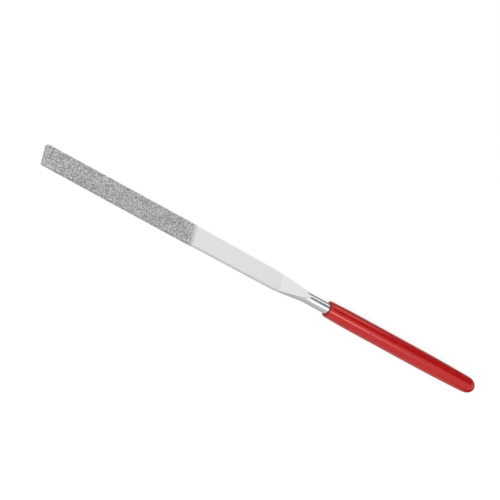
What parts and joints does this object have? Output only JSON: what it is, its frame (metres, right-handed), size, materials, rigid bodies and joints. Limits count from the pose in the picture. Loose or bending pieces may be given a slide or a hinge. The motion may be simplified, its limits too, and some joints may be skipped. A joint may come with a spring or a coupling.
{
  "type": "diamond needle file",
  "caption": "Slim flat diamond-coated needle file: parallel blade with a square tip, necked down to a thin round shank in a smooth red dipped vinyl grip.",
  "frame": {"origin": "on the file's axis, halfway along the whole tool (centre of its box)", "axes": "+X along the file towards the working tip, +Y towards the left edge, +Z out of the upper broad face"},
  "size_m": [0.14, 0.0056, 0.0048],
  "materials": {
    "steel": "fine satin ground and nickel flashed, polished on the round shank",
    "nickel_plate": "matt electroplated nickel",
    "diamond_grit": "sparkling grey crystals standing out of nickel",
    "red_vinyl": "smooth glossy dipped PVC"
  },
  "bodies": {
    "root": {"file_blank": "steel", "nickel_bond": "nickel_plate", "grit_upper_face": "diamond_grit", "grit_lower_face": "diamond_grit", "grit_left_edge": "diamond_grit", "grit_right_edge": "diamond_grit", "grit_tip_end": "diamond_grit", "vinyl_grip": "red_vinyl"}
  },
  "joints": []
}
